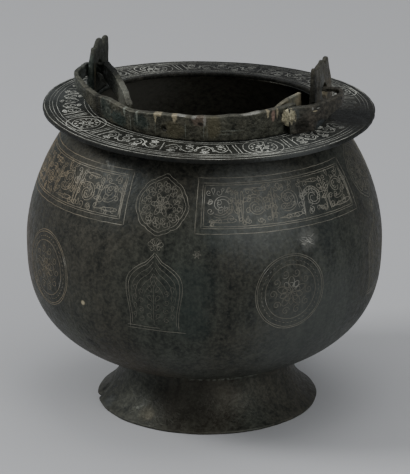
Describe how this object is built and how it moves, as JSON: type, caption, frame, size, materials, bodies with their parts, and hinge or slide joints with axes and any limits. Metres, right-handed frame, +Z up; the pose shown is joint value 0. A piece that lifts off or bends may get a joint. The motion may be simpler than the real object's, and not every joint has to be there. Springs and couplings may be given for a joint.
{
  "type": "footed pail with swing bail",
  "caption": "Round-bodied metal pail on a flared foot, with a wide flat rim, pronged upright lugs and a mended strip bail that lies on the rim.",
  "frame": {"origin": "on the ground plane, under the axis of the bowl", "axes": "+Z up along the axis of the bowl; +X to the pail's right, along the hinge line of the bail; -Y to the front, where the bail lies at rest"},
  "size_m": [0.2, 0.2, 0.207],
  "materials": {
    "bowl_bronze": "dark brown-green patina, worn, engraved",
    "rim_bronze": "dark grey-green patina, engraved",
    "foot_bronze": "dark brown patina, rubbed",
    "lug_bronze": "grey-brown patina, rough",
    "band_bronze": "grey-green patina with pale corrosion",
    "strap_bronze": "smooth brown-grey patina",
    "worn_bronze": "rubbed, pale tan",
    "solder_crust": "crumbly pale yellow-grey crust"
  },
  "bodies": {
    "vessel": {"bowl": "bowl_bronze", "rim_ring": "rim_bronze", "foot_ring": "foot_bronze", "lug_left": "lug_bronze", "lug_right": "lug_bronze"},
    "bail": {"bail_band": "band_bronze", "bail_strap": "strap_bronze", "tongue_stump": "worn_bronze", "lap_solder": "solder_crust"}
  },
  "joints": [
    {"name": "bail_swing", "type": "hinge", "parent": "vessel", "child": "bail", "pos_m": [0.00245, -0.00163, 0.18854], "axis": [-1, 0, 0], "range_deg": [0, 190]}
  ]
}
